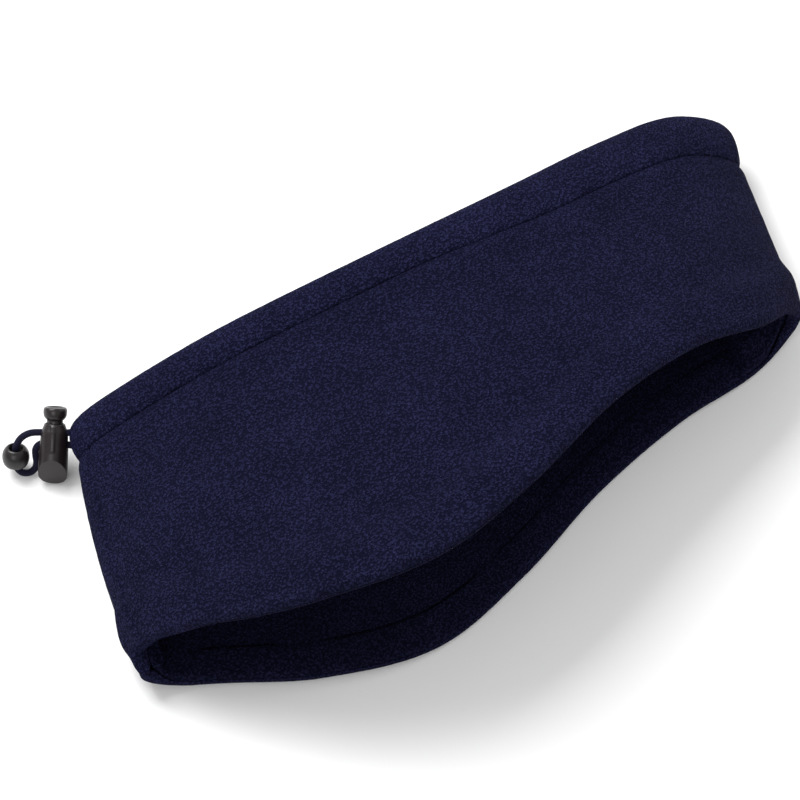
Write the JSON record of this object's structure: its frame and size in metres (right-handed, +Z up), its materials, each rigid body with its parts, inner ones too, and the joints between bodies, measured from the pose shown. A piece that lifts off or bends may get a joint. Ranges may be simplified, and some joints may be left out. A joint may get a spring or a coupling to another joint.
{
  "type": "fleece headband",
  "caption": "Contoured two-layer fleece ear-warmer headband, lying on its side, with a drawcord channel along the straight edge, a cord lock and a bead.",
  "frame": {"origin": "on the floor under the middle of the band's box, with the band lying on its side", "axes": "+X from the back fold to the front fold, +Y from the contoured edge to the straight edge with the drawcord, +Z up"},
  "size_m": [0.3076, 0.1521, 0.0767],
  "materials": {
    "fleece_outer": "matte",
    "fleece_lining": "matte",
    "fleece_channel": "matte",
    "cord": "matte",
    "lock_barrel": "satin",
    "lock_plunger": "satin",
    "bead": "satin"
  },
  "bodies": {
    "band": {"outer_shell": "fleece_outer", "lining": "fleece_lining", "drawcord_channel": "fleece_channel", "drawcord": "cord", "drawcord_loop": "cord", "cord_lock_barrel": "lock_barrel", "cord_end_bead": "bead"},
    "plunger": {"cord_lock_plunger": "lock_plunger"}
  },
  "joints": [
    {"name": "plunger_press", "type": "slide", "parent": "band", "child": "plunger", "axis": [0.4452, 0.6502, 0.6157], "range_m": [-0.0012, 0], "stiffness_N_per_m": 500}
  ]
}
